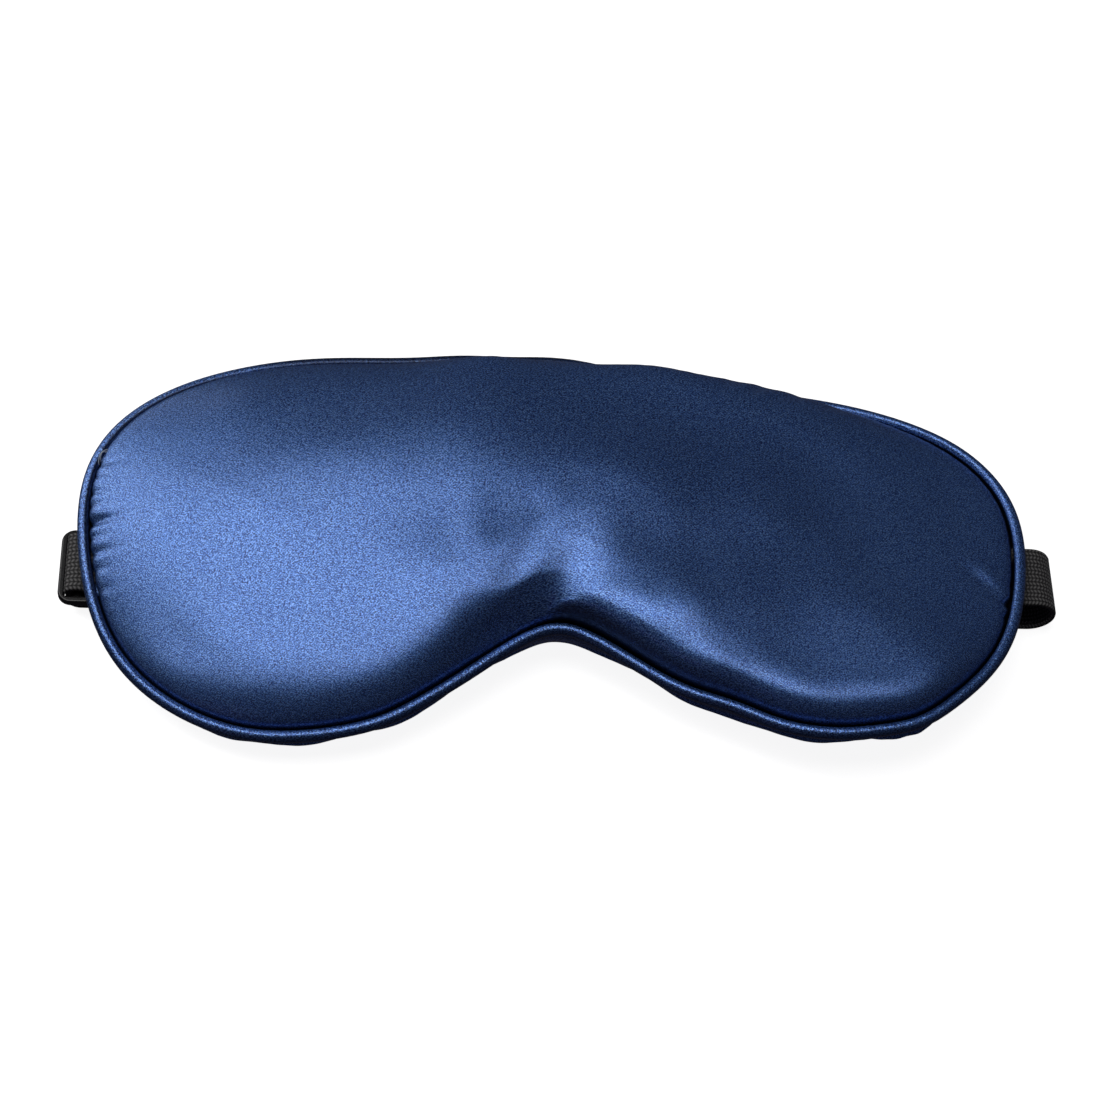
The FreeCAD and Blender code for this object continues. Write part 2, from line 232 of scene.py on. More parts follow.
def tube_mesh(name, path, frames_n, frames_b, radius, around=20, closed=True, radial=None, uvlen=None, shade=None):
    """Tube round a closed path; radial(i_long, angle) gives the local radius factor."""
    n = len(path)
    ang = np.linspace(0, 2 * math.pi, around, endpoint=False)
    A, L = np.meshgrid(ang, np.arange(n))
    r = radius if radial is None else radial(L, A)
    P = path[:, None, :] + (frames_n[:, None, :] * np.cos(A)[..., None] + frames_b[:, None, :] * np.sin(A)[..., None]) * (r[..., None] if np.ndim(r) else r)
    verts = P.reshape(-1, 3)
    faces = []
    m = n if closed else n - 1
    for i in range(m):
        a = i * around
        b = ((i + 1) % n) * around
        for j in range(around):
            k = (j + 1) % around
            faces.append((a + j, a + k, b + k, b + j))
    if not closed:
        faces.append(tuple(range(around - 1, -1, -1)))
        faces.append(tuple(range((n - 1) * around, n * around)))
    uv = None
    if uvlen is not None:
        uv = np.stack([np.repeat(uvlen, around), np.tile(ang * radius if np.ndim(radius) == 0 else ang, n)], 1)
    if shade is not None:
        shade = shade(L, A).ravel()
    return mesh_object(name, verts, faces, uv, shade=shade)


# ------------------------------------------------------------------ materials
def new_material(name):
    m = bpy.data.materials.new(name)
    m.use_nodes = True
    nt = m.node_tree
    nt.nodes.clear()
    out = nt.nodes.new("ShaderNodeOutputMaterial")
    b = nt.nodes.new("ShaderNodeBsdfPrincipled")
    nt.links.new(b.outputs[0], out.inputs[0])
    return m, nt, b


def add(nt, kind, **inputs):
    n = nt.nodes.new(kind)
    for k, v in inputs.items():
        if hasattr(n, k):
            setattr(n, k, v)
        else:
            n.inputs[k.replace("_", " ")].default_value = v
    return n


def math_node(nt, op, a, b=None, c=None):
    n = nt.nodes.new("ShaderNodeMath")
    n.operation = op
    for i, v in enumerate((a, b, c)):
        if v is None:
            continue
        if hasattr(v, "node"):
            nt.links.new(v, n.inputs[i])
        else:
            n.inputs[i].default_value = v
    return n.outputs[0]


def uv_axes(nt, scale=1.0, angle=0.0):
    """Separate cloth coordinates in mm, turned by angle degrees."""
    uvn = nt.nodes.new("ShaderNodeUVMap")
    uvn.uv_map = "cloth"
    mp = nt.nodes.new("ShaderNodeMapping")
    mp.inputs["Rotation"].default_value = (0, 0, math.radians(angle))
    mp.inputs["Scale"].default_value = (scale, scale, scale)
    nt.links.new(uvn.outputs[0], mp.inputs[0])
    return mp.outputs[0]


def noise(nt, vec, scale, detail=2.0, rough=0.5):
    n = nt.nodes.new("ShaderNodeTexNoise")
    n.inputs["Scale"].default_value = scale
    n.inputs["Detail"].default_value = detail
    n.inputs["Roughness"].default_value = rough
    nt.links.new(vec, n.inputs["Vector"])
    return n.outputs["Fac"]


def ramp(nt, fac, stops):
    n = nt.nodes.new("ShaderNodeValToRGB")
    el = n.color_ramp.elements
    while len(el) < len(stops):
        el.new(0.5)
    for e, (p, c) in zip(el, stops):
        e.position = p
        e.color = (*c, 1) if len(c) == 3 else c
    nt.links.new(fac, n.inputs[0])
    return n.outputs[0]


def bumped(nt, b, height, strength, distance):
    n = nt.nodes.new("ShaderNodeBump")
    n.inputs["Strength"].default_value = strength
    n.inputs["Distance"].default_value = distance
    nt.links.new(height, n.inputs["Height"])
    nt.links.new(n.outputs[0], b.inputs["Normal"])
    return n


def wave(nt, vec, pitch, distortion=1.0, detail=1.0):
    """Sine bands across U, one every `pitch` mm, about 0..1."""
    w = nt.nodes.new("ShaderNodeTexWave")
    w.wave_type = "BANDS"
    w.bands_direction = "X"
    w.wave_profile = "SIN"
    w.inputs["Scale"].default_value = 0.314 / pitch
    w.inputs["Distortion"].default_value = distortion
    w.inputs["Detail"].default_value = detail
    w.inputs["Detail Scale"].default_value = 1.4
    nt.links.new(vec, w.inputs["Vector"])
    return w.outputs["Fac"]


def stretched(nt, vec, sx, sy, turn=0.0):
    mp = nt.nodes.new("ShaderNodeMapping")
    mp.inputs["Rotation"].default_value = (0, 0, math.radians(turn))
    mp.inputs["Scale"].default_value = (sx, sy, 1.0)
    nt.links.new(vec, mp.inputs[0])
    return mp.outputs[0]


def satin(name, deep, mid, light, rough=0.34, metallic=0.72, gain=1.0, bump_d=0.00006, crinkle=0.0):
    """Dyed satin: uneven floats lying across the panel, with painted glints in the colour, and painted shade making it
    darker down in the seams.
    """
    m, nt, b = new_material(name)
    uv = uv_axes(nt, 1.0, 0)
    n1 = noise(nt, stretched(nt, uv, 0.82, 1.15, 8.0), 3.1, 1.0, 0.8)
    n2 = noise(nt, uv, 1.6, 1.0, 0.5)
    n3 = noise(nt, uv, 0.02, 2.0, 0.5)
    w1 = wave(nt, uv_axes(nt, 1.0, 40), 0.5, 1.6, 2.0)
    w2 = wave(nt, uv_axes(nt, 1.0, -52), 0.62, 1.8, 2.0)
    # painted glints: single threads drawn paler one by one, as if each caught the light
    vo = nt.nodes.new("ShaderNodeTexVoronoi")
    vo.voronoi_dimensions = "2D"
    vo.inputs["Scale"].default_value = 3.7
    nt.links.new(stretched(nt, uv, 0.8, 1.12, 8.0), vo.inputs["Vector"])
    sp = nt.nodes.new("ShaderNodeSeparateColor")
    nt.links.new(vo.outputs["Color"], sp.inputs[0])
    painted_glint = sp.outputs[0]
    f = math_node(nt, "MULTIPLY_ADD", painted_glint, 0.50 * gain, 0.46 - gain * (0.25 + 1.75 + 0.35 + 0.15))
    f = math_node(nt, "MULTIPLY_ADD", n1, 3.5 * gain, f)
    f = math_node(nt, "MULTIPLY_ADD", n2, 0.7 * gain, f)
    f = math_node(nt, "MULTIPLY_ADD", w1, 0.18 * gain, f)
    f = math_node(nt, "MULTIPLY_ADD", w2, 0.12 * gain, f)
    f = math_node(nt, "MULTIPLY_ADD", math_node(nt, "SUBTRACT", n3, 0.5), 0.12, f)
    # colour from deep navy to a pale glint colour: partly the cloth's own uneven tone, partly painted glints
    col = ramp(nt, f, [(0.0, deep), (0.5, mid), (1.0, light)])
    # painted shade: the 'shade' attribute mixes the colour towards near black in the seams and grooves and on the
    # shaded sides
    at = nt.nodes.new("ShaderNodeAttribute")
    at.attribute_name = "shade"
    dark = nt.nodes.new("ShaderNodeMix")
    dark.data_type = "RGBA"
    nt.links.new(at.outputs["Fac"], dark.inputs[0])
    nt.links.new(col, dark.inputs[6])
    dark.inputs[7].default_value = (0.004, 0.005, 0.02, 1)
    nt.links.new(dark.outputs[2], b.inputs["Base Color"])
    rn = math_node(nt, "MULTIPLY_ADD", n1, 0.16, rough - 0.08)
    nt.links.new(rn, b.inputs["Roughness"])
    b.inputs["Metallic"].default_value = metallic
    b.inputs["Specular IOR Level"].default_value = 0.3
    b.inputs["Coat Weight"].default_value = 0.8
    b.inputs["Coat Roughness"].default_value = 0.32
    h = math_node(nt, "MULTIPLY_ADD", w1, 0.2, n1)
    if crinkle:
        cr = noise(nt, stretched(nt, uv, 1.5, 0.55, 12.0), 1.0, 2.0, 0.6)
        h = math_node(nt, "MULTIPLY_ADD", cr, crinkle, h)
    bumped(nt, b, h, 0.7, bump_d)
    return m


# the third colour of each satin is the pale colour of its painted glints
SATIN = satin("navy_satin", (0.003, 0.020, 0.14), (0.068, 0.200, 0.66), (0.29, 0.53, 1.0), bump_d=0.00007)
SATIN_BACK = satin("navy_satin_lining", (0.003, 0.019, 0.13), (0.065, 0.19, 0.62), (0.25, 0.47, 1.0), rough=0.37)
PIPING = satin("navy_satin_piping", (0.004, 0.022, 0.14), (0.072, 0.205, 0.66), (0.27, 0.50, 1.0), rough=0.30, crinkle=5.0)


def elastic(name, dark=(0.010, 0.0095, 0.010), light=(0.24, 0.235, 0.235)):
    """Woven elastic: 1 mm rows of slanting floats, every second row slanting the other way. U runs along the strap."""
    m, nt, b = new_material(name)
    uvn = nt.nodes.new("ShaderNodeUVMap")
    uvn.uv_map = "cloth"
    sep = nt.nodes.new("ShaderNodeSeparateXYZ")
    nt.links.new(uvn.outputs[0], sep.inputs[0])
    u, v = sep.outputs[0], sep.outputs[1]
    fold = math_node(nt, "PINGPONG", v, 1.0)
    s = math_node(nt, "MULTIPLY_ADD", fold, 0.45, u)
    ph = math_node(nt, "MULTIPLY", s, 2 * math.pi / 0.8)
    rib = math_node(nt, "MULTIPLY_ADD", math_node(nt, "SINE", ph), 0.5, 0.5)
    row = math_node(nt, "ABSOLUTE", math_node(nt, "SINE", math_node(nt, "MULTIPLY", v, math.pi / 1.0)))
    row = math_node(nt, "POWER", row, 0.9)
    n1 = noise(nt, uvn.outputs[0], 4.0, 3.0, 0.7)
    h = math_node(nt, "MULTIPLY", math_node(nt, "MULTIPLY_ADD", rib, 0.75, 0.2), row)
    h = math_node(nt, "MULTIPLY_ADD", n1, 0.35, h)
    # the colour follows the rib height: painted shade down between the rows and a painted highlight on the raised
    # floats, with some random tone from the noise
    col = ramp(nt, math_node(nt, "MULTIPLY", h, 0.8), [(0.22, dark), (0.90, light)])
    nt.links.new(col, b.inputs["Base Color"])
    b.inputs["Roughness"].default_value = 0.62
    b.inputs["Specular IOR Level"].default_value = 0.4
    b.inputs["Sheen Weight"].default_value = 0.2
    b.inputs["Sheen Roughness"].default_value = 0.4
    bumped(nt, b, h, 0.9, 0.00016)
    return m


def plastic(name):
    m, nt, b = new_material(name)
    tc = nt.nodes.new("ShaderNodeTexCoord")
    n1 = noise(nt, tc.outputs["Object"], 900, 3.0, 0.6)
    n2 = noise(nt, tc.outputs["Object"], 160, 2.0, 0.5)
    col = ramp(nt, n2, [(0.3, (0.006, 0.006, 0.007)), (0.8, (0.014, 0.013, 0.014))])
    nt.links.new(col, b.inputs["Base Color"])
    r = math_node(nt, "MULTIPLY_ADD", n1, 0.12, 0.14)
    nt.links.new(r, b.inputs["Roughness"])
    b.inputs["Specular IOR Level"].default_value = 0.6
    bumped(nt, b, n1, 0.15, 0.00003)
    return m


def plain_cloth(name, dark, light, scale=1.2, rough=0.85, thread=0.4):
    m, nt, b = new_material(name)
    uvn = nt.nodes.new("ShaderNodeTexCoord")
    n1 = noise(nt, uvn.outputs["Object"], 1500 * scale, 3.0, 0.6)
    n2 = noise(nt, uvn.outputs["Object"], 220 * scale, 3.0, 0.6)
    mixf = math_node(nt, "MULTIPLY_ADD", n1, 0.5, math_node(nt, "MULTIPLY", n2, 0.5))
    col = ramp(nt, mixf, [(0.3, dark), (0.75, light)])
    nt.links.new(col, b.inputs["Base Color"])
    b.inputs["Roughness"].default_value = rough
    bumped(nt, b, mixf, 0.7, 0.0001)
    return m


ELASTIC = elastic("ribbed_elastic")
PLASTIC = plastic("black_plastic")
THREAD_NAVY = plain_cloth("navy_thread", (0.02, 0.035, 0.12), (0.05, 0.09, 0.26))
THREAD_PALE = plain_cloth("pale_thread", (0.45, 0.55, 0.70), (0.80, 0.88, 0.95))
THREAD_BLACK = plain_cloth("black_thread", (0.008, 0.008, 0.008), (0.04, 0.04, 0.04))
WADDING = plain_cloth("white_wadding", (0.62, 0.62, 0.60), (0.88, 0.88, 0.86), 0.3)
LINER = plain_cloth("black_liner", (0.006, 0.006, 0.007), (0.03, 0.03, 0.032))
CORDMAT = plain_cloth("cotton_cord", (0.5, 0.47, 0.4), (0.8, 0.77, 0.7))


def give(ob, mat):
    ob.data.materials.clear()
    ob.data.materials.append(mat)
    return ob


# ------------------------------------------------------------------ front panel
EDGE = 2.45          # inset of the panel's edge, just inside the piping
WALL, CROWN, LAM, POW = 9.32, 2.32, 3.73, 0.838     # height of the side, rise of the middle, width of the side
# the side is steep along the top and bottom and long at the two ends: terms of a cosine and a sine series
LAM_C = (-0.048, -1.887, 0.013, 0.148, -0.020, -0.068)
LAM_S = (-0.011, 0.029, -0.724, -0.017, 0.058, 0.022)

# how much the loose filling stands above (+) or below (-) the even form, mm:
# broad mounds on a grid over the body, and smaller ones over the nose
FORM_X = np.linspace(-90, 90, 11)
FORM_Y = (-36.0, -20.0, -4.0, 12.0, 28.0, 42.0)
FORM = (
    (-1.8, 0.1, -0.1, -0.1, 1.2, 0.3, 1.3, 0.4, -0.2, -0.4, 0.0),
    (0.1, -1.4, -0.5, -0.3, 1.6, 0.3, 0.3, 0.9, -1.8, -1.6, -0.0),
    (0.2, -0.0, -0.4, 0.0, -0.1, 0.8, 0.2, -1.3, -0.8, -0.2, -0.3),
    (-0.4, 0.1, 0.3, 0.7, 1.1, 0.7, 2.2, -0.9, -1.4, -0.1, -0.7),
    (-0.3, 0.3, 0.0, 0.6, 1.5, 0.3, -1.2, -1.3, 0.0, -0.1, -0.3),
    (0.1, 0.3, -0.1, -0.1, -0.3, -0.1, 0.0, 0.1, 0.2, 0.1, -0.0),
)
NOSE_X = np.linspace(-24, 30, 13)
NOSE_Y = (-26.0, -21.0, -16.0, -11.0, -5.5, 0.5)
NOSE_FORM = (
    (0.48, -0.19, -0.94, -1.47, -0.55, -0.27, 0.44, -0.48, -0.18, 0.34, 0.48, 0.29, 0.08),
    (-0.51, -0.07, 0.65, 0.79, 1.42, -0.59, 0.07, 0.60, 0.34, 0.56, 0.07, 0.19, 0.45),
    (0.20, -0.11, 0.08, -0.36, -0.52, 0.36, -0.20, 0.29, -0.06, -0.11, 0.18, 0.25, -0.22),
    (-0.05, 0.09, 0.33, 0.80, 0.33, -0.17, -0.11, 0.03, 0.29, 0.12, -0.10, -0.07, -0.01),
    (-0.07, 0.30, -0.08, 0.03, 0.30, 0.18, 0.17, 0.26, 0.11, -0.05, -0.12, -0.13, -0.23),
    (-0.12, 0.20, 0.04, 0.01, -0.26, 0.19, 0.17, 0.29, 0.23, 0.05, -0.04, 0.04, -0.06),
)
CREASE = {"c0": -3.06, "c1": 4.52, "f0": 0.60, "f1": 2.87, "wl": 4.93, "gl": 1.88, "wr": 2.57, "gr": 3.48, "d": 1.39, "u0": 0.09, "u1": 1.29, "st": 0.75}
# tucks of the gathered seam: place along Y, depth (minus: left side), half width, reach inward, mm
TUCKS = ((15.5, -0.8, 0.8, 1.8), (12.6, -0.5, 0.7, 1.5), (8.4, -0.8, 0.7, 1.8), (5.2, -0.6, 0.7, 1.6),
         (1.2, -1.7, 1.0, 2.6), (-2.6, -0.6, 0.8, 1.8), (-6.2, -0.9, 0.9, 2.2), (-10.4, -0.5, 0.9, 1.8),
         (-15.0, -0.45, 0.9, 1.8), (-14.2, 1.2, 1.0, 2.4), (-18.0, 0.5, 0.9, 2.0), (-9.0, 0.4, 0.9, 1.6))


def edge_distance(X, Y, inset):
    """Distance in from the panel's edge."""
    q = np.linspace(0, 2 * math.pi, 1080, endpoint=False)
    qx, qy, qnx, qny = rim_in(q, inset)
    d = np.zeros_like(X)
    for k in range(X.shape[0]):
        j = ((X[k][:, None] - qx) ** 2 + (Y[k][:, None] - qy) ** 2).argmin(1)
        d[k] = np.maximum((qx[j] - X[k]) * qnx[j] + (qy[j] - Y[k]) * qny[j], 0)
    return d


def front_surface(nt=1080, nr=124):
    C = CREASE
    t = np.linspace(0, 2 * math.pi, nt, endpoint=False)
    ex, ey, nx, ny = rim_in(t, EDGE)
    i = np.arange(0, nr + 1)
    rho = np.sin(np.pi / 2 * i / nr)
    R, T = np.meshgrid(rho, t, indexing="ij")
    X = R * ex[None, :]
    Y = PY + R * (ey - PY)[None, :]
    phi = swell(X, Y, R, T)
    phi = phi / phi.max()
    d = edge_distance(X, Y, EDGE)
    up = np.clip((Y + 26.0) / 19.0, 0, 1.8)
    dx = X - (C["c0"] + C["c1"] * up)
    lam = sum(c * np.cos((k + 1) * T) for k, c in enumerate(LAM_C)) + sum(c * np.sin((k + 1) * T) for k, c in enumerate(LAM_S))
    step = -C["st"] * np.tanh(dx / 1.6) * np.exp(-(dx / 18.0) ** 2) * (1 - smooth(-12, 0, Y))
    lam = LAM * np.exp(lam * smooth(0.25, 0.7, R) + step)
    deg = np.degrees(np.mod(T + math.pi, 2 * math.pi) - math.pi)
    # rounder shoulder over the middle of the top edge, a squarer one at the lower right
    lam = (lam ** 4 + (2.9 * np.exp(-((deg - 2.0) / 25.0) ** 2)) ** 4) ** 0.25
    far = smooth(0.35, 0.75, R)
    corner = far * np.exp(-((deg - 121.0) / 15.0) ** 2)
    lam = lam * (1 - corner) + 1.5 * corner
    thin = 1 - 0.28 * far * np.exp(-((deg - 122.0) / 20.0) ** 2 - (d / 28.0) ** 2)
    h = WALL * thin * (1 - np.exp(-(d / lam) ** POW)) + CROWN * np.maximum(phi, 0) ** 0.9
    dr = droop(T)
    # outward roll over the hidden piping at the top right
    # straight slope up to a crisp shoulder left of the nose
    wedge = np.exp(-((X + 13.0) / 9.0) ** 2) * smooth(8, 14, -Y)
    ramp_ = 1.45 * d
    h = h + wedge * (-0.35 * np.log(np.exp(-ramp_ / 0.35) + np.exp(-h / 0.35)) - h)
    left = np.exp(-((deg + 76.0) / 30.0) ** 2)
    h = h + left * 1.1 * (1 - np.exp(-d / 0.6)) * np.exp(-(d / 4.5) ** 2)
    roll = dr * 1.3 * np.exp(-((h / 11.6 - 0.45) / 0.3) ** 2) * smooth(0.0, 2.0, d) + left * 0.8 * np.exp(-((d - 1.1) / 1.2) ** 2)
    X = X + roll * nx[None, :]
    Y = Y + roll * ny[None, :]
    Z = seam_z(X, Y) + h - DROP * dr * np.exp(-d / 9.0)
    inside = smooth(0, 12, d)
    form = np.zeros_like(Z)
    for gx, col in zip(FORM_X, zip(*FORM)):
        ax = np.exp(-((X - gx) / 15.0) ** 2)
        for gy, amp in zip(FORM_Y, col):
            form += amp * ax * np.exp(-((Y - gy) / 13.0) ** 2)
    Z = Z + form * inside
    form = np.zeros_like(Z)
    for gx, col in zip(NOSE_X, zip(*NOSE_FORM)):
        ax = np.exp(-((X - gx) / 4.8) ** 2)
        for gy, amp in zip(NOSE_Y, col):
            form += amp * ax * np.exp(-((Y - gy) / 5.5) ** 2)
    Z = Z + form * smooth(0, 3.5, d)
    # nose crease: a short V from the notch, sharp at its foot, opening and fading upward
    soft = C["f0"] + C["f1"] * up
    wl, wr = C["wl"] + C["gl"] * up, C["wr"] + C["gr"] * up
    vee = np.exp(-(np.hypot(dx, soft) - soft) / np.where(dx < 0, wl, wr))
    Z = Z - C["d"] * (1 - smooth(C["u0"], C["u1"], up)) * vee * smooth(0.0, 2.2, d)
    s, total = arc_length(T)
    # slow unevenness of the wadding
    Z = Z + inside * (0.07 * wobble(X, Y, 3, 12, 0.012, 0.03) + 0.03 * wobble(X, Y, 5, 14, 0.03, 0.07))
    # little puckers all along the seam
    e = np.exp(-d / 1.8) * smooth(0.0, 0.6, d)
    patch = 0.35 + 0.65 * (0.5 + 0.5 * wobble(s, 0 * s, 21, 6, 0.004, 0.02))
    wave = np.sin(2 * math.pi * s / 4.6 + 1.6 * wobble(s, 0 * s, 31, 8, 0.01, 0.06))
    wave2 = np.sin(2 * math.pi * s / 2.9 + 1.9 * wobble(s, 0 * s, 41, 8, 0.02, 0.08))
    Z = Z + e * 0.09 * patch * (wave + 0.5 * wave2)
    # undulating bulge along the top right edge
    topw = bump(38, 70, np.degrees(T) % 360.0, 0.8)
    Z = Z + topw * 0.22 * np.exp(-((d - 4.0) / 3.5) ** 2) * np.sin(2 * math.pi * s / 9.5 + 1.2 * wobble(s, 0 * s, 47, 6, 0.01, 0.04))
    # tucks
    for ty_, amp, wide, reach in TUCKS:
        side = -1.0 if amp < 0 else 1.0
        on = (X < -60) if amp < 0 else (X > 60)
        tuck = np.exp(-((Y - ty_) / wide) ** 2) * np.exp(-d / reach) * on
        Z = Z - abs(amp) * tuck * smooth(0.0, 0.8, d)
        X = X - side * 0.55 * abs(amp) * tuck
    # the creased fold near the right seam
    fx, fy = (X - 97.6), (Y + 7.6)
    ca, sa = math.cos(math.radians(-42)), math.sin(math.radians(-42))
    al, ac = fx * ca + fy * sa, -fx * sa + fy * ca
    Z = Z + 0.42 * np.exp(-(ac / 2.4) ** 2) * np.exp(-(al / 6.0) ** 2) - 0.42 * np.exp(-((ac + 3.2) / 2.1) ** 2) * np.exp(-(al / 5.4) ** 2)
    # the edge turns down into the seam, leaving a groove beside the piping
    tuckin = np.exp(-d / 0.45)
    Z = Z - 1.5 * tuckin
    X = X - 0.55 * tuckin * nx[None, :]
    Y = Y - 0.55 * tuckin * ny[None, :]
    # cloth coordinates: the wall unrolled outward
    un = (11.6 - h) * smooth(0, 1, R)
    U = X + un * nx[None, :] * 0.8
    Vv = Y + un * ny[None, :] * 0.8
    # seam allowance: runs out under the piping
    ax_, ay_, _, _ = rim_in(t, 1.9 + 1.0 * droop(t))
    az_ = seam_z(ax_, ay_) - 1.1 - DROP * droop(t)
    P = np.stack([X, Y, Z], -1)
    verts = np.vstack([P[0, :1], P[1:].reshape(-1, 3), np.stack([ax_, ay_, az_], -1)])
    UV = np.stack([U, Vv], -1)
    uv = np.vstack([UV[0, :1], UV[1:].reshape(-1, 2), UV[-1] + 1.2 * np.stack([nx, ny], -1)])
    # painted shade: colour darkened to near black close to the seam, in the groove beside the piping and up the foot
    # of the steep side, and fully on the seam allowance under the piping
    shade = np.maximum(np.exp(-(d / (0.60 - 0.30 * left)) ** 2), 0.95 * np.exp(-(h / 2.6) ** 2 - (d / (1.7 - 1.2 * left)) ** 2))
    shade = np.r_[shade[0, :1], shade[1:].ravel(), np.ones(nt)]
    return verts, uv, shade, nt, nr + 1


fv, fuv, fshade, NT, NR = front_surface()
front = mesh_object("front_panel_satin", fv, polar_faces(NT, NR, False), fuv, shade=fshade)
give(front, SATIN)


# ------------------------------------------------------------------ back panel
def back_surface(nt=840, nr=90, up=0.0, shrink=0.0):
    t = np.linspace(0, 2 * math.pi, nt, endpoint=False)
    ex, ey, nx, ny = rim_in(t, EDGE + 0.1 + shrink)
    i = np.arange(0, nr + 1)
    rho = np.sin(np.pi / 2 * i / nr)
    R, T = np.meshgrid(rho, t, indexing="ij")
    X = R * ex[None, :]
    Y = PY + R * (ey - PY)[None, :]
    phi = swell(X, Y, R, T)
    phi = phi / phi.max()
    d_edge = (1 - R) * np.hypot(ex, ey - PY)[None, :]
    dr = droop(T)
    sz = seam_z(X, Y) - DROP * dr * np.exp(-d_edge / 9.0)
    # drop to the table, steep at the edge and flat where it rests
    drop = np.maximum(phi, 0) ** 0.40 * 21.0
    s, total = arc_length(T)
    e = np.exp(-d_edge / 9.0) * smooth(0.0, 1.5, d_edge)
    wave = np.sin(2 * math.pi * s / 9.0 + 2.0 * wobble(s, 0 * s, 51, 8, 0.01, 0.04))
    wave2 = np.sin(2 * math.pi * s / 4.3 + 1.9 * wobble(s, 0 * s, 61, 8, 0.02, 0.08))
    patch = 0.5 + 0.5 * (0.5 + 0.5 * wobble(s, 0 * s, 71, 6, 0.004, 0.02))
    deg = np.degrees(T)
    amount = 0.40 - 0.26 * smooth(92, 104, deg) * (1 - smooth(250, 266, deg)) + 0.55 * bump(104, 134, deg)
    gather = e * patch * amount * (0.8 * wave + 0.35 * wave2)
    fold = 1.0 * np.exp(-((deg - 123.0) / 2.6) ** 2) - 0.5 * np.exp(-((deg - 117.5) / 2.2) ** 2)
    roll = (1.45 + fold) * np.exp(-((drop - 5.0) / 4.0) ** 2) * smooth(0, 1.0, d_edge) + gather * 0.8
    X = X + roll * nx[None, :]
    Y = Y + roll * ny[None, :]
    z = sz - drop + gather * 0.5
    # what it lies on: table, strap, tail, slider
    yy = np.abs(Y - STRAP_Y)
    floor = 0.25 + np.zeros_like(z)
    on_run = 1 - smooth(STRAP_W / 2 + 0.2, STRAP_W / 2 + 2.6, yy)
    floor = np.maximum(floor, 0.25 + 1.15 * on_run)
    tail = on_run * (1 - smooth(-16.0, -11.0, X))      # room for the tail all along its travel
    floor = np.maximum(floor, 0.25 + 3.5 * tail)
    slid = (1 - smooth(9.9, 12.4, yy)) * (1 - smooth(-98.4, -95.0, X))
    floor = np.maximum(floor, 0.25 + 10.4 * slid)
    k = 1.2
    Z = floor + k * np.log1p(np.exp(np.clip((z - floor) / k, -40, 40)))
    Z = np.minimum(Z, sz - 0.05 + 0 * Z)
    # the edge is caught under the piping, below the satin of the other face
    caught = np.exp(-(d_edge / 0.35) ** 2)
    Z = Z - 1.3 * caught
    X = X + 1.0 * caught * nx[None, :]
    Y = Y + 1.0 * caught * ny[None, :]
    un = (drop).clip(0, 14)
    U = X + un * nx[None, :] * 0.6
    Vv = Y + un * ny[None, :] * 0.6
    # the seam allowance runs on into the piping and closes the body
    ax, ay, anx, any_ = rim_in(t, 1.4)
    ax, ay = ax - 1.0 * dr[0] * anx, ay - 1.0 * dr[0] * any_
    az = seam_z(ax, ay) - DROP * dr[0] - 0.2
    P = np.concatenate([np.stack([X, Y, Z], -1), np.stack([ax, ay, az], -1)[None]], 0) + np.array([0.0, 0.0, up])
    UV = np.concatenate([np.stack([U, Vv], -1), np.stack([ax, ay], -1)[None]], 0)
    verts = np.vstack([P[0, :1], P[1:].reshape(-1, 3)])
    uv = np.vstack([UV[0, :1], UV[1:].reshape(-1, 2)])
    # painted shade: darker where the lining curves down near its edge, and on the seam allowance under the piping
    shade = 0.8 * np.exp(-(drop / 2.5) ** 2)
    shade = np.r_[shade[0, :1], shade[1:].ravel(), np.full(nt, 0.8)]
    return verts, uv, shade, nt, nr + 1


bv, buv, bshade, bnt, bnr = back_surface()
back = mesh_object("back_panel_satin", bv, polar_faces(bnt, bnr, True), buv, shade=bshade)
give(back, SATIN_BACK)


# ------------------------------------------------------------------ piping
def rim_path(n, inset):
    t = np.linspace(0, 2 * math.pi, n, endpoint=False)
    x, y, nx, ny = rim_in(t, inset)
    dr = droop(t)
    x = x - 1.0 * dr * nx
    y = y - 1.0 * dr * ny
    z = seam_z(x, y) - DROP * dr
    p = np.stack([x, y, z], 1)
    d = np.roll(p, -1, 0) - np.roll(p, 1, 0)
    d /= np.linalg.norm(d, axis=1)[:, None]
    out = np.stack([nx, ny, 0 * nx], 1)
    out -= (out * d).sum(1)[:, None] * d
    out /= np.linalg.norm(out, axis=1)[:, None]
    upv = np.cross(d, out)
    upv *= np.sign(upv[:, 2:3])
    s, _ = arc_length(t)
    return p, out, upv, s, t


def piping(n=1800, around=28, r=1.42):
    p, out, upv, s, t = rim_path(n, 1.4)

    def radial(L, A):
        S = s[L]
        tw = 0.004 * np.sin(2 * math.pi * S / 1.7 + 2.2 * A + 2.5 * wobble(S, A * 2, 81, 8, 0.05, 0.3))
        big = 0.010 * wobble(S, A * 2, 101, 10, 0.015, 0.06)
        # a little pinched towards the seam side
        pinch = -0.10 * np.maximum(0, -np.cos(A)) ** 2
        return r * (1 + tw + big + pinch)

    def dark(L, A):
        """Painted shade: dark deep in the seam, along the top left where it sinks beside the pad, and under the roll
        along the bottom.
        """
        deg = np.degrees(t[L])
        a = np.degrees(A)
        groove = 0.95 * smooth(150, 168, a) * (1 - smooth(200, 225, a))
        low = 0.60 * smooth(95, 112, deg) * (1 - smooth(250, 268, deg)) * np.maximum(1 - smooth(38, 78, a), smooth(200, 230, a))
        top = 0.72 * (smooth(292, 306, deg) + 1 - smooth(4, 14, deg))
        left = 0.85 * bump(246, 304, deg, 0.5) * smooth(84, 112, a)
        return np.clip(np.maximum(np.maximum(groove, low), np.maximum(top, left)), 0, 0.95)

    return tube_mesh("piping_satin", p, out, upv, r, around, True, radial, s, dark)


pipe = give(piping(), PIPING)


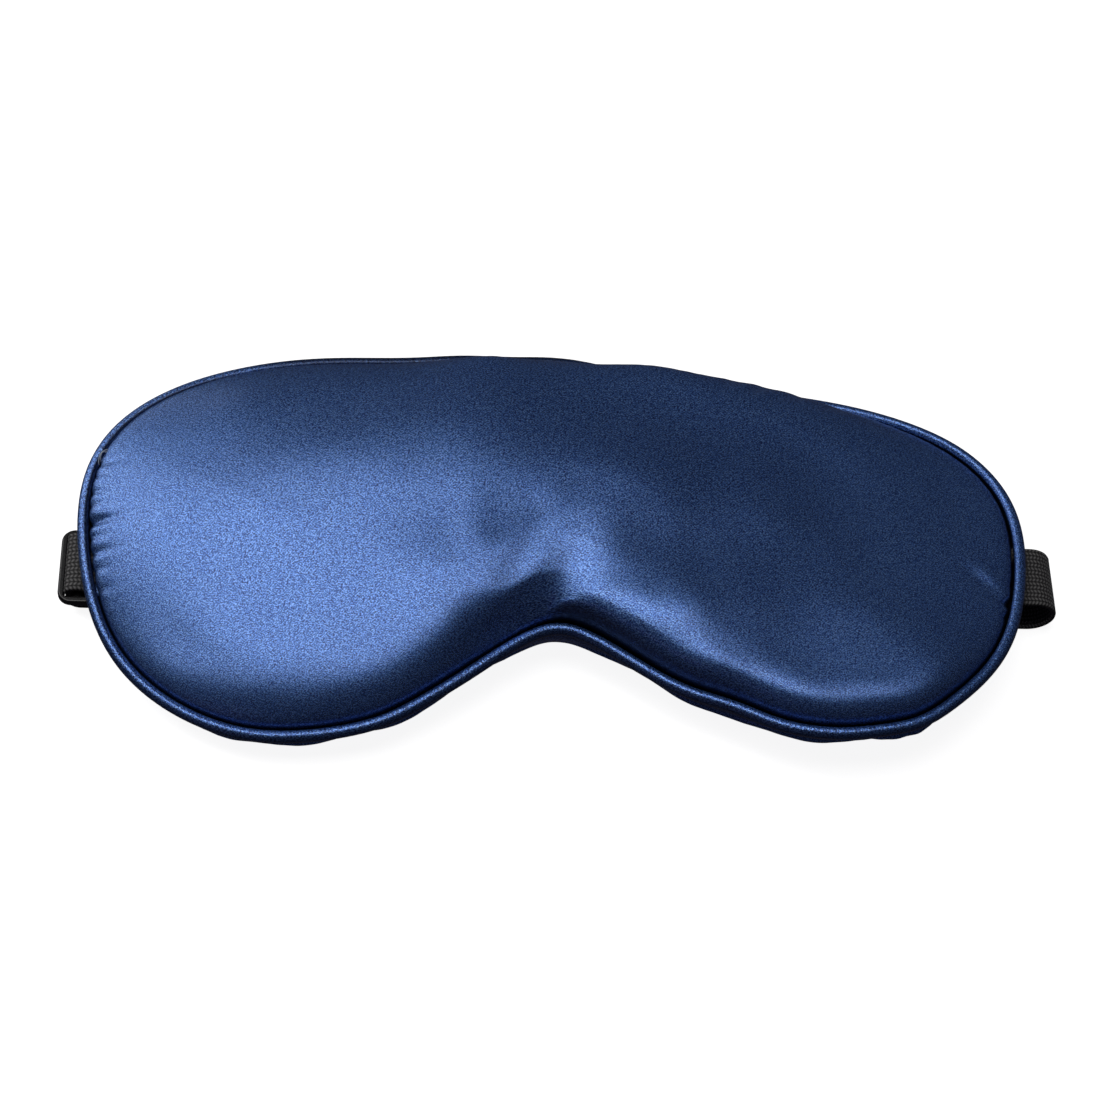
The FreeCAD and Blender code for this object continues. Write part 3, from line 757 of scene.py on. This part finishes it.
# ------------------------------------------------------------------ strap pieces
def ribbon_mesh(name, pts, width, thick, y_mid, seg=0.35, across=24, warp=None, u0=0.0, close=True):
    """Flat strap along a path in XZ (mm), with rounded selvedges."""
    pts = np.asarray(pts, float)
    d = np.r_[0, np.cumsum(np.hypot(*np.diff(pts, axis=0).T))]
    n = max(8, int(d[-1] / seg))
    s = np.linspace(0, d[-1], n)
    # smooth resample
    px = np.interp(s, d, pts[:, 0])
    pz = np.interp(s, d, pts[:, 1])
    tx = np.gradient(px, s)
    tz = np.gradient(pz, s)
    l = np.hypot(tx, tz)
    tx, tz = tx / l, tz / l
    nx, nz = -tz, tx
    # closed section: top from -w/2 to w/2, bottom back, rounded ends
    prof = []
    hw = width / 2
    rr = thick / 2
    for k in range(across + 1):
        prof.append((-hw + rr + (width - 2 * rr) * k / across, rr))
    for k in range(1, 4):
        a = math.pi / 2 - math.pi * k / 4
        prof.append((hw - rr + rr * math.cos(a), rr * math.sin(a)))
    for k in range(across + 1):
        prof.append((hw - rr - (width - 2 * rr) * k / across, -rr))
    for k in range(1, 4):
        a = -math.pi / 2 - math.pi * k / 4
        prof.append((-hw + rr + rr * math.cos(a), rr * math.sin(a)))
    prof = np.array(prof)
    m = len(prof)
    V3 = np.zeros((n, m, 3))
    V3[:, :, 0] = px[:, None] + nx[:, None] * prof[None, :, 1]
    V3[:, :, 1] = y_mid + prof[None, :, 0]
    V3[:, :, 2] = pz[:, None] + nz[:, None] * prof[None, :, 1]
    if warp is not None:
        V3 = warp(V3, s)
    faces = []
    for i in range(n - 1):
        for j in range(m):
            k = (j + 1) % m
            faces.append((i * m + j, i * m + k, (i + 1) * m + k, (i + 1) * m + j))
    faces.append(tuple(range(m - 1, -1, -1)))
    faces.append(tuple(range((n - 1) * m, n * m)))
    vv = np.where(prof[:, 1] >= 0, prof[:, 0], prof[:, 0] + 40.0)
    uv = np.stack([np.repeat(s + u0, m), np.tile(prof[:, 0] + 7.5, n)], 1)
    ob = mesh_object(name, V3.reshape(-1, 3), faces, uv)
    return ob


def arc(cx, cz, r, a0, a1, n=24):
    a = np.radians(np.linspace(a0, a1, n))
    return [(cx + r * math.cos(q), cz + r * math.sin(q)) for q in a]


run_pts = [(-105.85, 0.5)] + [(-105.85 + 214.15 * k / 200, 0.5) for k in range(1, 201)]
strap_run = give(ribbon_mesh("strap_run_elastic", run_pts, STRAP_W, STRAP_T, STRAP_Y), ELASTIC)

right_pts = arc(108.3, 5.7, 5.2, -90, 90, 60) + [(108.3 - 11.3 * k / 20, 10.9) for k in range(1, 21)]
strap_right = give(ribbon_mesh("strap_right_turn_elastic", right_pts, STRAP_W, STRAP_T, STRAP_Y, u0=214.15), ELASTIC)

def filleted(pts, radii, n=14):
    """Path of straight runs with a tangent arc of the given radius at each inner corner."""
    pts = [np.array(q, float) for q in pts]
    out = [pts[0]]
    for k in range(1, len(pts) - 1):
        u1 = pts[k - 1] - pts[k]
        u2 = pts[k + 1] - pts[k]
        u1 /= np.linalg.norm(u1)
        u2 /= np.linalg.norm(u2)
        half = math.acos(float(np.clip(u1 @ u2, -1, 1))) / 2
        r = radii[k - 1]
        c = pts[k] + (u1 + u2) / np.linalg.norm(u1 + u2) * (r / math.sin(half))
        a, b = pts[k] + u1 * r / math.tan(half), pts[k] + u2 * r / math.tan(half)
        a0 = math.atan2(*(a - c)[::-1])
        da = math.atan2(*(b - c)[::-1]) - a0
        da = (da + math.pi) % (2 * math.pi) - math.pi
        out += [c + r * np.array([math.cos(a0 + da * f), math.sin(a0 + da * f)]) for f in np.linspace(0, 1, n)]
    out.append(pts[-1])
    return out


def spline(pts, n=8):
    """Catmull-Rom path through the points."""
    p = np.array([pts[0]] + list(pts) + [pts[-1]], float)
    out = []
    for k in range(1, len(p) - 2):
        for f in np.arange(n) / n:
            out.append(0.5 * (2 * p[k] + (p[k + 1] - p[k - 1]) * f + (2 * p[k - 1] - 5 * p[k] + 4 * p[k + 1] - p[k + 2]) * f ** 2
                              + (3 * p[k] - p[k - 1] - 3 * p[k + 1] + p[k + 2]) * f ** 3))
    return out + [p[-1]]


ll, lr = -108.6, -104.2
turn_pts = ([(-105.85, 0.5)] + arc(-105.85, 3.25, 2.75, 270, 180, 24)[:-1]
            + spline([(ll, 3.6), (ll, 4.8), (ll - 0.02, 5.9), (-108.85, 6.75), (-108.45, 7.4), (-107.4, 7.8), (-106.1, 7.85), (-105.0, 7.5), (-104.4, 6.8), (lr, 5.9), (lr, 4.8), (lr, 3.6)])
            + arc(lr + 1.9, 3.6, 1.9, 180, 270, 20)[1:] + [(-101.5, 1.7)])
strap_turn = give(ribbon_mesh("strap_slider_turn_elastic", turn_pts, STRAP_W, STRAP_T, STRAP_Y, seg=0.15), ELASTIC)

tail_pts = ([(-101.5 + 21.5 * k / 40, 1.7) for k in range(41)] + arc(-80.0, 2.22, 0.52, -90, 90, 14)[1:]
            + [(-80.0 - 7.5 * k / 15, 2.74) for k in range(1, 16)])
strap_tail = give(ribbon_mesh("strap_tail_elastic", tail_pts, STRAP_W, STRAP_T, STRAP_Y, seg=0.2), ELASTIC)

tab_pts = filleted([(-103.5, 11.3), (-103.05, 6.5), (-103.05, 3.75), (-99.95, 3.75), (-99.95, 6.5), (-102.3, 11.3)], [6.0, 1.549, 1.549, 3.0])
strap_tab = give(ribbon_mesh("strap_tab_elastic", tab_pts, STRAP_W, STRAP_T, STRAP_Y, seg=0.15), ELASTIC)

# a loose end of the seam's thread, curled at the left of the seam
loose = np.array(spline([(-102.9, 15.6, 14.6), (-103.0, 16.6, 16.0), (-102.7, 17.8, 16.7), (-101.9, 18.8, 16.9), (-101.0, 19.2, 16.6),
                         (-101.3, 18.5, 16.8), (-102.2, 18.2, 17.1), (-102.6, 17.2, 16.4), (-102.3, 16.4, 15.0)]))
d_ = np.gradient(loose, axis=0)
d_ /= np.linalg.norm(d_, axis=1)[:, None]
o_ = np.cross(d_, [0.3, 0.2, 1.0])
o_ /= np.linalg.norm(o_, axis=1)[:, None]
thread_end = give(tube_mesh("seam_thread_end", loose, o_, np.cross(d_, o_), 0.11, 8, False), THREAD_PALE)

for n_ in ("strap_slider",):
    give(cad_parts[n_], PLASTIC)
for n_ in ("seam_thread",):
    give(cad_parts[n_], THREAD_NAVY)
for n_ in ("strap_end_bartack", "tab_bartack", "tail_hem_thread"):
    give(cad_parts[n_], THREAD_BLACK)

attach(front, "mask")
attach(back, "mask")
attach(pipe, "mask")
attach(thread_end, "mask")
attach(strap_run, "mask")
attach(strap_right, "mask")
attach(strap_turn, "slider")
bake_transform(strap_tail)
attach(strap_tab, "mask")
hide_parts("front_panel", "filling_pad", "blackout_liner")
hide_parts("back_panel")
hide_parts("piping_cover", "piping_cord")
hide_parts("seam_thread")
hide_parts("strap_run")
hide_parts("strap_right_turn")
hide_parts("strap_slider_turn")
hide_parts("strap_tail")
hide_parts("strap_tab")

# ------------------------------------------------------------------ stage and light
SC.view_settings.view_transform = "Standard"
world = bpy.data.worlds.new("world")
SC.world = world
world.use_nodes = True
bg = world.node_tree.nodes["Background"]
bg.inputs[0].default_value = (0.85, 0.78, 1.0, 1)
bg.inputs[1].default_value = 0.03


def floor():
    me = bpy.data.meshes.new("floor")
    s = 3.0
    me.from_pydata([(-s, -s, 0), (s, -s, 0), (s, s, 0), (-s, s, 0)], [], [(0, 1, 2, 3)])
    ob = bpy.data.objects.new("floor", me)
    SC.collection.objects.link(ob)
    m, nt, b = new_material("pale_floor")
    tc = nt.nodes.new("ShaderNodeTexCoord")
    n1 = noise(nt, tc.outputs["Object"], 3.0, 2.0)
    nt.links.new(ramp(nt, n1, [(0.3, (0.86, 0.86, 0.86)), (0.7, (0.88, 0.88, 0.88))]), b.inputs["Base Color"])
    b.inputs["Roughness"].default_value = 0.9
    b.inputs["Specular IOR Level"].default_value = 0.1
    b.inputs["Emission Color"].default_value = (1, 1, 1, 1)
    b.inputs["Emission Strength"].default_value = 0.90
    give(ob, m)
    ob.visible_diffuse = False
    ob.visible_glossy = False
    return ob


ground = floor()


def area(name, loc, target, size, power, size_y=None, color=(1, 1, 1)):
    li = bpy.data.lights.new(name, "AREA")
    li.energy = power
    li.color = color
    li.shape = "RECTANGLE" if size_y else "SQUARE"
    li.size = size
    if size_y:
        li.size_y = size_y
    ob = bpy.data.objects.new(name, li)
    ob.location = loc
    ob.rotation_euler = (Vector(target) - Vector(loc)).to_track_quat("-Z", "Y").to_euler()
    SC.collection.objects.link(ob)
    return ob


def softbox(name, azimuth, elevation, radiance, size=0.85, dist=2.0, color=(1, 1, 1)):
    """Square soft panel facing the object; azimuth clockwise from +Y seen from above."""
    a, e = math.radians(azimuth), math.radians(elevation)
    d = Vector((math.sin(a) * math.cos(e), math.cos(a) * math.cos(e), math.sin(e)))
    return area(name, d * dist, (0, 0, 0), size, math.pi * size * size * radiance, color=color)


softbox("overhead", 0, 88, 1.90)
softbox("left_high", 270, 66, 0.84)
softbox("back_high", 315, 66, 1.55)
softbox("left_back", 300, 42, 1.90)
softbox("left_low", 300, 18, 1.20)
softbox("back_low", 330, 18, 0.60)
softbox("front_fill", 215, 14, 0.06, color=(1.0, 0.5, 1.0))
